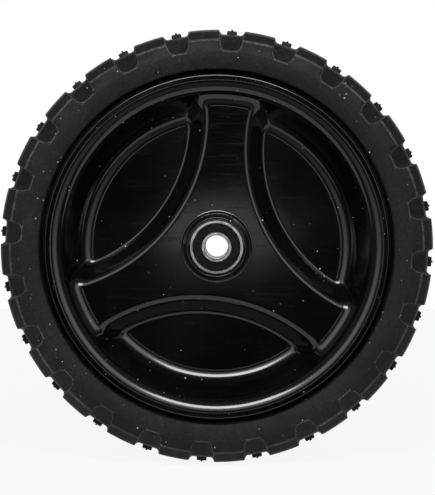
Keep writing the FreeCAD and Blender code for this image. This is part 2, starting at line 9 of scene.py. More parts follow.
import bmesh
import bpy
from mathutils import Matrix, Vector

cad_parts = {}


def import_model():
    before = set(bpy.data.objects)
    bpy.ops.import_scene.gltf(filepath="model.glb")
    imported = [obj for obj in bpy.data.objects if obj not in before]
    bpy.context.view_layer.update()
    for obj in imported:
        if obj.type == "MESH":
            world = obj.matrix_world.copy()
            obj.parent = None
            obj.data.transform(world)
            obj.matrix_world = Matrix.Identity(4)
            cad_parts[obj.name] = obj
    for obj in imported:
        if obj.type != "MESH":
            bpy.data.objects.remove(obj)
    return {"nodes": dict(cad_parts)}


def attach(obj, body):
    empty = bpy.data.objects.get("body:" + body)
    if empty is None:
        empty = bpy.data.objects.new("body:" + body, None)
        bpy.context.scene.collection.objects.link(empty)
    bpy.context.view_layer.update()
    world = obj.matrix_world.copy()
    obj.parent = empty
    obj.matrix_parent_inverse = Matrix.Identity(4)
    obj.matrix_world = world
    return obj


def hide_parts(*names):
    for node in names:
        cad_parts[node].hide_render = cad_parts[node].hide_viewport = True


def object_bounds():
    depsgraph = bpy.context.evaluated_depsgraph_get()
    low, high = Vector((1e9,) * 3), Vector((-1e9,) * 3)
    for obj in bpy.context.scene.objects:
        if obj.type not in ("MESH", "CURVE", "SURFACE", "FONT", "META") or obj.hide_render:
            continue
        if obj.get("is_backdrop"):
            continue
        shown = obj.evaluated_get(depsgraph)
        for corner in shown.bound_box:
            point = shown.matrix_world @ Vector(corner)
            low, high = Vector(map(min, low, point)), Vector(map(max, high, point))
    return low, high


LOG = logging.getLogger("lawn_mower_wheel")
MM = 0.001
# Corners this close are one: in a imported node, and where repeated stretches meet
WELD = 0.004 * MM
SEAM_WELD = 0.01 * MM
# How square to the axle a flat face is, and how nearly square its corners are before they are set so
FLAT = 0.9999
NEARLY_FLAT = 0.88
Pair = Tuple[float, float]
Colour = Tuple[float, float, float]
Socket = bpy.types.NodeSocket
Number = Union[Socket, float]
Tint = Union[Socket, Colour]


class Body(Enum):
    """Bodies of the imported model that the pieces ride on."""

    SLEEVE = "axle_sleeve"
    WHEEL = "wheel"
    FRONT_BALLS = "front_ball_set"
    REAR_BALLS = "rear_ball_set"


class End(Enum):
    """Ends of the hub, by the word that their node names begin with."""

    FRONT = "front"
    REAR = "rear"


# Hand tools


def deselect() -> None:
    """Leave edit mode and select nothing."""
    if bpy.context.object and bpy.context.object.mode != "OBJECT":
        bpy.ops.object.mode_set(mode="OBJECT")
    bpy.ops.object.select_all(action="DESELECT")


def activate(piece: bpy.types.Object) -> None:
    """Make one object the only selected and active one.

    Args:
        piece: The object to work on.
    """
    deselect()
    piece.select_set(True)
    bpy.context.view_layer.objects.active = piece


def repeat_about_axle(count: int) -> None:
    """Repeat the selected mesh evenly around the axle, in edit mode, and select it all.

    Args:
        count: How many there are in all.
    """
    bpy.ops.mesh.spin(steps=count - 1, dupli=True, angle=2 * math.pi * (1 - 1 / count),
                      center=(0.0, 0.0, 0.0), axis=(0.0, 1.0, 0.0))
    bpy.ops.mesh.select_all(action="SELECT")


def merged_copy(node: bpy.types.Object, name: str) -> bpy.types.Object:
    """Copy a CAD node as one welded mesh.

    Args:
        node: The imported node, which is left as it is.
        name: Name of the copy.

    Returns:
        The copy, at the origin with its place in its mesh.
    """
    mesh = node.data.copy()
    mesh.name = name
    mesh.materials.clear()
    piece = bpy.data.objects.new(name, mesh)
    bpy.context.scene.collection.objects.link(piece)
    activate(piece)
    if mesh.has_custom_normals:
        bpy.ops.mesh.customdata_custom_splitnormals_clear()
    bpy.ops.object.mode_set(mode="EDIT")
    bpy.ops.mesh.select_all(action="SELECT")
    bpy.ops.mesh.remove_doubles(threshold=WELD)
    bpy.ops.object.mode_set(mode="OBJECT")
    return piece


def shade(piece: bpy.types.Object, smooth_degrees: float) -> None:
    """Shade a piece smoothly, with flat faces across the axle as true planes.

    Args:
        piece: The welded piece.
        smooth_degrees: Edges sharper than this stay crisp.
    """
    activate(piece)
    bpy.ops.object.shade_smooth_by_angle(angle=math.radians(smooth_degrees))
    mesh = piece.data
    sides = {}
    for polygon in mesh.polygons:
        if abs(polygon.normal.y) > FLAT:
            for number in polygon.vertices:
                sides[number] = math.copysign(1.0, polygon.normal.y)
    normals = [corner.vector.copy() for corner in mesh.corner_normals]
    for loop in mesh.loops:
        side = sides.get(loop.vertex_index)
        if side and normals[loop.index].y * side > NEARLY_FLAT:
            normals[loop.index] = Vector((0.0, side, 0.0))
    mesh.normals_split_custom_set(normals)


# Finishes


class Graph:
    """A node tree with short calls for the nodes that the finishes and the room share."""

    def __init__(self, tree: bpy.types.NodeTree) -> None:
        """Hold the node tree that the calls add to."""
        self.tree = tree

    def link(self, source: Socket, target: Socket) -> None:
        """Join two sockets."""
        self.tree.links.new(source, target)

    def math(self, operation: str, first: Number, second: Number = 0.5, clamp: bool = False) -> Socket:
        """Add a math node.

        Args:
            operation: Name of the operation.
            first: A socket or number.
            second: A socket or number.
            clamp: Whether the result is kept from 0 to 1.

        Returns:
            The result socket.
        """
        node = self.tree.nodes.new("ShaderNodeMath")
        node.operation = operation
        node.use_clamp = clamp
        for socket, item in zip(node.inputs, (first, second)):
            if isinstance(item, Socket):
                self.link(item, socket)
            else:
                socket.default_value = item
        return node.outputs[0]

    def spread(self, value: Socket, span: Pair, levels: Pair, soft: bool = False) -> Socket:
        """Map a value from one range to another, clamped.

        Args:
            value: The socket to map.
            span: Start and end of the first range.
            levels: Results at the start and at the end.
            soft: Whether the change eases in and out.

        Returns:
            The mapped socket.
        """
        node = self.tree.nodes.new("ShaderNodeMapRange")
        if soft:
            node.interpolation_type = "SMOOTHSTEP"
        self.link(value, node.inputs["Value"])
        node.inputs["From Min"].default_value, node.inputs["From Max"].default_value = span
        node.inputs["To Min"].default_value, node.inputs["To Max"].default_value = levels
        return node.outputs["Result"]


class Nodes(Graph):
    """A material's nodes, around its shader and its Object coordinates."""

    def __init__(self, name: str) -> None:
        """Start a material with only a shader and an output.

        Args:
            name: Name of the material.
        """
        self.material = bpy.data.materials.new(name)
        self.material.use_nodes = True
        super().__init__(self.material.node_tree)
        self.shader = self.tree.nodes["Principled BSDF"]
        self.place = self.tree.nodes.new("ShaderNodeTexCoord").outputs["Object"]

    def noise(self, scale: float, detail: float = 4.0, stretch: Sequence[float] = (1, 1, 1),
              place: Optional[Socket] = None) -> Socket:
        """Add a noise pattern.

        Args:
            scale: Waves per metre.
            detail: Octaves.
            stretch: Scale of the three axes.
            place: Coordinates; Object coordinates where left out.

        Returns:
            The noise value socket.
        """
        mapping = self.tree.nodes.new("ShaderNodeMapping")
        mapping.inputs["Scale"].default_value = stretch
        self.link(place or self.place, mapping.inputs["Vector"])
        node = self.tree.nodes.new("ShaderNodeTexNoise")
        node.inputs["Scale"].default_value = scale
        node.inputs["Detail"].default_value = detail
        self.link(mapping.outputs["Vector"], node.inputs["Vector"])
        return node.outputs["Fac"]

    def specks(self, scale: float, size: float) -> Socket:
        """Add sparse round specks.

        Args:
            scale: Cells per metre.
            size: Largest radius of a speck in cells.

        Returns:
            A socket that is 1 on a speck.
        """
        node = self.tree.nodes.new("ShaderNodeTexVoronoi")
        node.inputs["Scale"].default_value = scale
        self.link(self.place, node.inputs["Vector"])
        split = self.tree.nodes.new("ShaderNodeSeparateColor")
        self.link(node.outputs["Color"], split.inputs["Color"])
        reach = self.math("MULTIPLY", split.outputs["Red"], size)
        inside = self.math("SUBTRACT", reach, node.outputs["Distance"])
        return self.math("MULTIPLY", inside, 2.0 / size, clamp=True)

    def dust(self, scale: float, size: float, finer: float = 2.1, larger: float = 1.4) -> Socket:
        """Add coarse specks everywhere and fine ones in drifts.

        Args:
            scale: Cells of the coarse specks per metre.
            size: Largest radius of a coarse speck in cells.
            finer: How many times more cells the fine specks have.
            larger: How many times larger the fine specks are in their cells.

        Returns:
            A socket that is 1 on a speck.
        """
        drift = self.spread(self.noise(scale=26.0, detail=3.0), (0.42, 0.56), (0.0, 1.0))
        fine = self.math("MULTIPLY", self.specks(scale * finer, size * larger), drift)
        return self.math("MAXIMUM", self.specks(scale, size), fine)

    def blend(self, factor: Socket, first: Tint, second: Tint) -> Socket:
        """Mix two colours.

        Args:
            factor: Socket for the share of the second colour.
            first: A colour, or a socket.
            second: A colour, or a socket.

        Returns:
            The mixed colour socket.
        """
        node = self.tree.nodes.new("ShaderNodeMix")
        node.data_type = "RGBA"
        self.link(factor, node.inputs["Factor"])
        for socket, item in ((node.inputs[6], first), (node.inputs[7], second)):
            if isinstance(item, Socket):
                self.link(item, socket)
            else:
                socket.default_value = (*item, 1.0)
        return node.outputs[2]

    def bump(self, height: Socket, depth: float) -> None:
        """Put a height on the shader's normal.

        Args:
            height: The height socket.
            depth: Depth in metres for a height of 1.
        """
        node = self.tree.nodes.new("ShaderNodeBump")
        node.inputs["Strength"].default_value = 1.0
        node.inputs["Distance"].default_value = depth
        self.link(height, node.inputs["Height"])
        self.link(node.outputs["Normal"], self.shader.inputs["Normal"])

    def around_axle(self) -> Tuple[Socket, Socket]:
        """Measure a place from the axle.

        Returns:
            Sockets of the distance from the axle and of the turn about it.
        """
        split = self.tree.nodes.new("ShaderNodeSeparateXYZ")
        self.link(self.place, split.inputs["Vector"])
        first = self.math("MULTIPLY", split.outputs["X"], split.outputs["X"])
        second = self.math("MULTIPLY", split.outputs["Z"], split.outputs["Z"])
        reach = self.math("SQRT", self.math("ADD", first, second))
        return reach, self.math("ARCTAN2", split.outputs["X"], split.outputs["Z"])


@dataclass(frozen=True)
class MouldedPlastic:
    """Glossy black moulded plastic with handling haze, fine scratches and dust."""

    name: str = "rim_gloss_plastic"
    colour: Colour = (0.0013, 0.0012, 0.0015)
    haze: Colour = (0.0022, 0.0020, 0.0025)
    dust: Colour = (0.50, 0.49, 0.48)
    gloss: Pair = (0.07, 0.16)
    scratch_rough: float = 0.05
    dust_rough: float = 0.8
    dust_height: float = 6.0
    grain_depth: float = 0.004 * MM

    def material(self) -> bpy.types.Material:
        """Mix the finish.

        Returns:
            The material.
        """
        nodes = Nodes(self.name)
        cloud = nodes.noise(scale=18.0, detail=5.0)
        fine = nodes.noise(scale=900.0, detail=2.0)
        scratch = nodes.noise(scale=60.0, detail=6.0, stretch=(1.0, 1.0, 14.0))
        film = nodes.spread(cloud, (0.42, 0.72), (0.0, 1.0))
        tint = nodes.blend(film, self.colour, self.haze)
        dots = nodes.dust(scale=125.0, size=0.072)
        nodes.link(nodes.blend(dots, tint, self.dust), nodes.shader.inputs["Base Color"])
        streaks = nodes.spread(scratch, (0.55, 0.70), (0.0, self.scratch_rough))
        rough = nodes.spread(cloud, (0.3, 0.75), self.gloss)
        rough = nodes.math("ADD", rough, streaks)
        rough = nodes.math("MAXIMUM", rough, nodes.math("MULTIPLY", dots, self.dust_rough))
        nodes.link(rough, nodes.shader.inputs["Roughness"])
        height = nodes.math("ADD", fine, nodes.math("MULTIPLY", dots, self.dust_height))
        nodes.bump(height, self.grain_depth)
        return nodes.material


@dataclass(frozen=True)
class TyreRubber:
    """Dull black rubber with a dusty bloom, moulding grain and specks of dirt."""

    name: str = "tyre_moulded_rubber"
    colour: Colour = (0.0009, 0.0008, 0.0011)
    bloom: Colour = (0.0098, 0.0087, 0.0118)
    dust: Colour = (0.40, 0.39, 0.38)
    rough: Pair = (0.55, 0.72)
    specular: float = 0.2
    mottle_height: float = 3.0
    grain_depth: float = 0.05 * MM

    def material(self) -> bpy.types.Material:
        """Mix the finish.

        Returns:
            The material.
        """
        nodes = Nodes(self.name)
        cloud = nodes.noise(scale=22.0, detail=6.0)
        mottle = nodes.noise(scale=160.0, detail=4.0)
        grit = nodes.noise(scale=760.0, detail=3.0)
        grain = nodes.noise(scale=1500.0, detail=3.0)
        share = nodes.math("MULTIPLY", nodes.spread(cloud, (0.35, 0.70), (0.1, 1.0)),
                           nodes.spread(mottle, (0.35, 0.65), (0.15, 1.0)))
        share = nodes.math("MULTIPLY", share, nodes.spread(grit, (0.36, 0.64), (0.1, 1.7)))
        tint = nodes.blend(share, self.colour, self.bloom)
        dots = nodes.dust(scale=150.0, size=0.085)
        nodes.link(nodes.blend(dots, tint, self.dust), nodes.shader.inputs["Base Color"])
        nodes.link(nodes.spread(mottle, (0.3, 0.7), self.rough), nodes.shader.inputs["Roughness"])
        nodes.shader.inputs["Specular IOR Level"].default_value = self.specular
        height = nodes.math("MULTIPLY", mottle, self.mottle_height)
        height = nodes.math("ADD", height, nodes.math("ADD", grit, grain))
        nodes.bump(height, self.grain_depth)
        return nodes.material


@dataclass(frozen=True)
class GroundSteel:
    """Bearing steel with fine rings from grinding about the axle."""

    name: str
    colour: Colour = (0.58, 0.57, 0.56)
    gloss: Pair = (0.10, 0.22)
    rings: float = 5200.0
    ring_drift: float = 0.0006
    ring_depth: float = 0.0012 * MM
    dulling: float = 0.72

    def material(self) -> bpy.types.Material:
        """Mix the finish.

        Returns:
            The material.
        """
        nodes = Nodes(self.name)
        reach, turned = nodes.around_axle()
        join = nodes.tree.nodes.new("ShaderNodeCombineXYZ")
        nodes.link(reach, join.inputs["X"])
        nodes.link(nodes.math("MULTIPLY", turned, self.ring_drift), join.inputs["Y"])
        ring = nodes.noise(scale=self.rings, detail=3.0, place=join.outputs["Vector"])
        cloud = nodes.noise(scale=240.0, detail=4.0)
        dull = tuple(self.dulling * part for part in self.colour)
        nodes.link(nodes.blend(nodes.spread(cloud, (0.35, 0.75), (0.0, 0.8)), self.colour, dull),
                   nodes.shader.inputs["Base Color"])
        nodes.shader.inputs["Metallic"].default_value = 1.0
        rough = nodes.math("ADD", nodes.spread(ring, (0.3, 0.7), self.gloss),
                           nodes.spread(cloud, (0.5, 0.8), (0.0, 0.12)))
        nodes.link(rough, nodes.shader.inputs["Roughness"])
        nodes.bump(ring, self.ring_depth)
        return nodes.material


@dataclass(frozen=True)
class SealRubber:
    """Smooth black rubber of the bearing seals, with a faint oily film."""

    name: str = "seal_rubber"
    colour: Colour = (0.0040, 0.0039, 0.0042)
    film: Colour = (0.0100, 0.0097, 0.0100)
    rough: Pair = (0.32, 0.5)
    specular: float = 0.07
    grain_depth: float = 0.006 * MM

    def material(self) -> bpy.types.Material:
        """Mix the finish.

        Returns:
            The material.
        """
        nodes = Nodes(self.name)
        cloud = nodes.noise(scale=420.0, detail=5.0)
        grain = nodes.noise(scale=4200.0, detail=2.0)
        nodes.link(nodes.blend(nodes.spread(cloud, (0.45, 0.75), (0.0, 1.0)), self.colour, self.film),
                   nodes.shader.inputs["Base Color"])
        nodes.link(nodes.spread(cloud, (0.3, 0.7), self.rough), nodes.shader.inputs["Roughness"])
        nodes.shader.inputs["Specular IOR Level"].default_value = self.specular
        nodes.bump(grain, self.grain_depth)
        return nodes.material


# Sub-assemblies


@dataclass(frozen=True)
class Row:
    """One line around the tyre: where it runs on a block and in a notch, in millimetres.

    Each place is the distance from the axle and the place along it. Lines of one rubbed edge share
    its name; those edges get lighter rubber, which is wear and also a painted highlight.
    """

    block: Pair
    notch: Pair
    edge: str = ""


@dataclass
class Tyre:
    """Lugged tyre: one pitch of the tread is shaped and then repeated around the axle.

    Sizes are in millimetres, and a place is its distance from the axle and its place along it.
    """

    pitches: int = 24
    rest_turn: float = math.radians(4.1)
    seat: Pair = (85.1, 14.4)
    bead: Pair = (88.2, 9.0)
    foot: Pair = (91.9, 18.9)
    crest: Pair = (100.9, 21.0)
    bulge: float = 30.0
    shoulder: Pair = (106.8, 20.7)
    block_edge: Pair = (111.8, 15.4)
    block_top: Pair = (113.2, 6.5)
    knee: Pair = (109.3, 13.5)
    channel: Pair = (110.8, 6.5)
    crown: float = 111.25
    notch_end: float = 4.8
    notch_slope: float = 0.1545
    notch_corner: float = 3.4
    notch_round: float = 3.96
    notch_tightening: float = 0.5
    lip: float = 0.4
    lip_share: float = 0.06
    lip_most: float = 0.12
    crest_probe: float = 1.0
    channel_probe: float = 0.5
    seat_ease: float = 0.3
    bead_ease: float = 0.4
    foot_gap: float = 0.8
    foot_round: Tuple[Pair, ...] = ((-0.15, -0.9), (-0.05, -0.3), (0.25, 0.12))
    sidewall_steps: int = 8
    crest_dip: float = 0.01
    front_steps: Tuple[float, ...] = (0.13, 0.24, 0.38, 0.54, 0.7)
    shoulder_steps: Pair = (0.36, 0.62)
    top_steps: Pair = (0.4, 0.7)
    rounds: Tuple[float, float, float] = (0.7, 1.0, 0.6)
    channel_ease: float = 0.25
    channel_run: float = 0.3
    channel_rise: Pair = (0.15, 2.5)
    crown_edge: Pair = (0.1, 1.6)
    wall_shares: Tuple[float, ...] = (0.92, 0.75, 0.5, 0.25)
    block_shares: Pair = (0.3, 0.65)
    edge_column: int = 7
    smooth_degrees: float = 42.0
    knob: Tuple[float, float, float] = (5.2, 10.0, 112.9)
    knob_sunk: float = 1.4
    knob_round: float = 0.6
    knob_smooth_degrees: float = 40.0
    stub: Pair = (0.55, 1.5)
    stub_rise: float = 0.35
    stub_sides: int = 10

    def rounded(self, before: Pair, corner: Pair, after: Pair, cut: float) -> List[Pair]:
        """Return three places that round a corner of the outline.

        Args:
            before: Place before the corner.
            corner: The sharp corner.
            after: Place after the corner.
            cut: How far from the corner the rounding starts.

        Returns:
            The places where the rounding starts, is half way and ends.
        """
        sharp = Vector(corner)
        first = sharp + (Vector(before) - sharp).normalized() * cut
        last = sharp + (Vector(after) - sharp).normalized() * cut
        middle = (first + last) / 2 * 0.5 + sharp * 0.5
        return [tuple(first), tuple(middle), tuple(last)]

    def sidewall(self) -> List[Pair]:
        """Work out the bulging sidewall.

        Returns:
            Places from its foot to just under the notches.
        """
        low, high = Vector(self.foot), Vector(self.crest)
        way = high - low
        left = Vector((-way.y, way.x)).normalized()
        centre = (low + high) / 2 - left * math.sqrt(self.bulge ** 2 - (way.length / 2) ** 2)
        if centre.y > self.foot[1]:
            centre = (low + high) / 2 + left * math.sqrt(self.bulge ** 2 - (way.length / 2) ** 2)
        places = []
        for step in range(1, self.sidewall_steps):
            spoke = (low.lerp(high, step / self.sidewall_steps) - centre).normalized()
            places.append(tuple(centre + spoke * self.bulge))
        return places

    def notch_line(self, share: float) -> Pair:
        """Follow the floor of a notch.

        Args:
            share: How far along it the place is, from its end at 0 to the channel at 1.

        Returns:
            The place.
        """
        first, middle, last = Vector(self.crest), Vector(self.knee), Vector(self.channel)
        run = (middle - first).length
        total = run + (last - middle).length
        gone = share * total
        if gone < run:
            return tuple(first.lerp(middle, gone / run))
        return tuple(middle.lerp(last, (gone - run) / (total - run)))

    def floor_reach(self, height: float) -> float:
        """Work out how far the floor of a notch is from the axle.

        Args:
            height: Place along the axle.

        Returns:
            The distance in millimetres.
        """
        first, last = (self.crest, self.knee) if height > self.knee[1] else (self.knee, self.channel)
        share = (first[1] - height) / (first[1] - last[1])
        return first[0] + (last[0] - first[0]) * share

    def half_width(self, place: Pair) -> float:
        """Return half the width of a notch at a place, with its rounded bottom corners.

        Args:
            place: Distance from the axle and place along it.

        Returns:
            The half width in millimetres.
        """
        floor = self.floor_reach(place[1])
        rise = max(place[0] - floor, 0.0)
        tight = 1.0 - self.notch_tightening * (floor - self.crest[0]) / (self.channel[0] - self.crest[0])
        corner, bend = self.notch_corner * tight, self.notch_round * tight
        flat = self.notch_end + (floor - self.crest[0]) * self.notch_slope - corner
        if rise < corner:
            return flat + math.sqrt(bend ** 2 - (bend - rise) ** 2)
        return self.notch_end + (place[0] - self.crest[0]) * self.notch_slope

    def half_rows(self) -> List[Row]:
        """Lay out the lines of one half of the tyre.

        Returns:
            The lines, from its seat to the crown.
        """
        seat, bead, foot, channel = self.seat, self.bead, self.foot, self.channel
        plain = [seat, (bead[0] - self.seat_ease, seat[1]), (bead[0], seat[1] - self.seat_ease),
                 (bead[0], bead[1] + self.bead_ease), (bead[0] + self.bead_ease, bead[1]),
                 (foot[0] - self.foot_gap - self.bead_ease, bead[1]),
                 (foot[0] - self.foot_gap, bead[1] + self.bead_ease)]
        plain += [(foot[0] + out, foot[1] + along) for out, along in self.foot_round]
        plain += self.sidewall()
        rows = [Row(place, place) for place in plain]
        below = (self.crest[0] - self.lip, self.crest[1] - self.crest_dip)
        rows.append(Row(below, below, "end"))
        front, shoulder = Vector(self.crest), Vector(self.shoulder)
        edge, top = Vector(self.block_edge), Vector(self.block_top)
        corners = [self.crest, self.shoulder, self.block_edge, self.block_top, channel]
        bends = [self.rounded(*corners[number:number + 3], cut) for number, cut in enumerate(self.rounds)]
        face = [(tuple(front.lerp(shoulder, self.lip_share)), "end")]
        face += [(tuple(front.lerp(shoulder, step)), "") for step in self.front_steps]
        face += [(place, "shoulder") for place in bends[0]]
        face += [(tuple(shoulder.lerp(edge, step)), "") for step in self.shoulder_steps]
        face += [(place, "edge") for place in bends[1]]
        face += [(tuple(edge.lerp(top, step)), "") for step in self.top_steps]
        face += [(place, "top") for place in bends[2]]
        face += [((channel[0] + self.channel_ease, channel[1]), "")]
        lengths = [self.lip]
        for before, after in zip(face, face[1:]):
            lengths.append(lengths[-1] + (Vector(after[0]) - Vector(before[0])).length)
        for (place, name), length in zip(face, lengths):
            rows.append(Row(place, self.notch_line(length / (lengths[-1] + self.channel_run)), name))
        for place in [(channel[0], channel[1] - self.channel_ease),
                      (channel[0] + self.channel_rise[0], channel[1] - self.channel_rise[1]),
                      (self.crown - self.crown_edge[0], self.crown_edge[1]), (self.crown, 0.0)]:
            rows.append(Row(place, place))
        return rows

    def columns(self, row: Row) -> List[Pair]:
        """Return the columns from the middle of a notch to the middle of a block on one line.

        Args:
            row: The line around the tyre.

        Returns:
            For each column its way around the tyre in millimetres and its share of the notch.
        """
        block, notch = Vector(row.block), Vector(row.notch)
        depth = (block - notch).length
        half_pitch = math.pi / self.pitches * row.block[0]
        steps = len(self.wall_shares) + 1
        if row.block == row.notch:
            edge = self.half_width((self.crest[0] + self.crest_probe, self.crest[1]))
            flat = self.notch_end - self.notch_corner
            if row.block[0] >= self.channel[0]:
                edge = self.half_width((self.channel[0] + self.channel_probe, self.channel[1]))
                flat = self.half_width(self.channel)
            walls = [(flat + (edge - flat) * step / steps, 0.0) for step in range(1, steps + 1)]
        else:
            shares = (*self.wall_shares, min(self.lip / depth, self.lip_most))
            flat = self.half_width(row.notch)
            edge = self.half_width(row.block)
            walls = [(self.half_width(tuple(block.lerp(notch, share))), share) for share in shares]
        rest = half_pitch - edge
        inside = [(0.0, 1.0), (0.5 * flat, 1.0), (flat, 1.0)]
        outside = [(edge + share * rest, 0.0) for share in self.block_shares]
        return inside + walls + [(edge + self.lip, 0.0)] + outside + [(half_pitch, 0.0)]

    def carcass(self) -> bpy.types.Object:
        """Shape a flat grid into one pitch, repeat it around the axle and weld the pitches.

        Returns:
            The carcass with its blocks and notches.
        """
        half = self.half_rows()
        rows = [(row, -1.0) for row in half] + [(row, 1.0) for row in reversed(half[:-1])]
        rows.append((half[0], -1.0))
        across = 2 * len(self.columns(half[0])) - 2
        deselect()
        bpy.ops.mesh.primitive_grid_add(x_subdivisions=across, y_subdivisions=len(rows) - 1, size=2.0)
        piece = bpy.context.object
        piece.name = "tyre_carcass"
        for vertex in piece.data.vertices:
            column = round((vertex.co.x + 1.0) / 2.0 * across) - across // 2
            row, side = rows[round((vertex.co.y + 1.0) / 2.0 * (len(rows) - 1))]
            way, share = self.columns(row)[abs(column)]
            place = Vector(row.block).lerp(Vector(row.notch), share)
            turned = math.copysign(way, column) / place.x + self.rest_turn
            vertex.co = Vector((place.x * math.cos(turned), side * place.y, -place.x * math.sin(turned)))
            vertex.co *= MM
        for polygon in piece.data.polygons:
            # Faces on rubbed edges take the lighter rubber: wear, and a painted highlight where the edges
            # catch light
            polygon.material_index = int(self.is_worn_and_highlit(polygon.index, rows, across))
        bpy.ops.object.mode_set(mode="EDIT")
        bpy.ops.mesh.select_all(action="SELECT")
        repeat_about_axle(self.pitches)
        bpy.ops.mesh.remove_doubles(threshold=SEAM_WELD)
        bpy.ops.mesh.normals_make_consistent(inside=False)
        bpy.ops.object.mode_set(mode="OBJECT")
        bpy.ops.object.shade_smooth_by_angle(angle=math.radians(self.smooth_degrees))
        return piece

    def is_worn_and_highlit(self, number: int, rows: List[Tuple[Row, float]], across: int) -> bool:
        """Tell whether a face of the pitch lies on a rubbed edge, which gets the lighter rubber: wear and a
        painted highlight.

        Args:
            number: Place of the face in the flat grid.
            rows: The lines with their sides.
            across: Faces across the grid.

        Returns:
            True on the edges of the blocks and the ends of the notches.
        """
        first, second = rows[number // across][0], rows[number // across + 1][0]
        column = abs(number % across + 0.5 - across / 2)
        same = first.edge if first.edge == second.edge else ""
        if column < self.edge_column:
            return same == "end"
        if column < self.edge_column + 1:
            return first.block != first.notch or second.block != second.notch
        return same in ("shoulder", "edge", "top")

    def knobs(self) -> bpy.types.Object:
        """Shape one centre knob with its vent stub and repeat it around the axle.

        Returns:
            All the knobs as one piece.
        """
        wide, long, top = (item * MM for item in self.knob)
        foot = (self.crown - self.knob_sunk) * MM
        deselect()
        bpy.ops.mesh.primitive_cube_add(size=1.0, location=(0.0, 0.0, 0.0))
        piece = bpy.context.object
        piece.name = "tyre_knobs"
        bpy.ops.object.mode_set(mode="EDIT")
        bpy.ops.transform.resize(value=(top - foot, long, wide))
        bpy.ops.transform.translate(value=((top + foot) / 2, 0.0, 0.0))
        bpy.ops.mesh.bevel(offset=self.knob_round * MM, segments=3, affect="EDGES")
        bpy.ops.mesh.select_all(action="DESELECT")
        radius, depth = (item * MM for item in self.stub)
        bpy.ops.mesh.primitive_cylinder_add(vertices=self.stub_sides, radius=radius, depth=depth,
                                            location=(top + self.stub_rise * MM, 0.0, 0.0),
                                            rotation=(0.0, math.pi / 2, 0.0))
        bpy.ops.mesh.select_all(action="SELECT")
        bpy.ops.transform.rotate(value=-self.rest_turn, orient_axis="Y", center_override=(0.0, 0.0, 0.0))
        repeat_about_axle(self.pitches)
        bpy.ops.mesh.normals_make_consistent(inside=False)
        bpy.ops.object.mode_set(mode="OBJECT")
        bpy.ops.object.shade_smooth_by_angle(angle=math.radians(self.knob_smooth_degrees))
        return piece

    def build(self) -> List[bpy.types.Object]:
        """Make the tyre and dress it.

        Returns:
            The finished pieces.
        """
        carcass, knobs = self.carcass(), self.knobs()
        # Lighter rubber on the block edges, shoulders and notch ends: wear, and also a painted highlight
        # where those edges catch light
        worn_and_highlit = TyreRubber("tyre_worn_and_highlit_edges", (0.0210, 0.0198, 0.0230), (0.078, 0.075, 0.080))
        knob = TyreRubber("tyre_knob_rubber", (0.0045, 0.0043, 0.0048), (0.009, 0.0088, 0.0094))
        carcass.data.materials.append(TyreRubber().material())
        carcass.data.materials.append(worn_and_highlit.material())
        knobs.data.materials.append(knob.material())
        for piece in (carcass, knobs):
            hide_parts("tyre")
            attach(piece, Body.WHEEL.value)
        return [carcass, knobs]


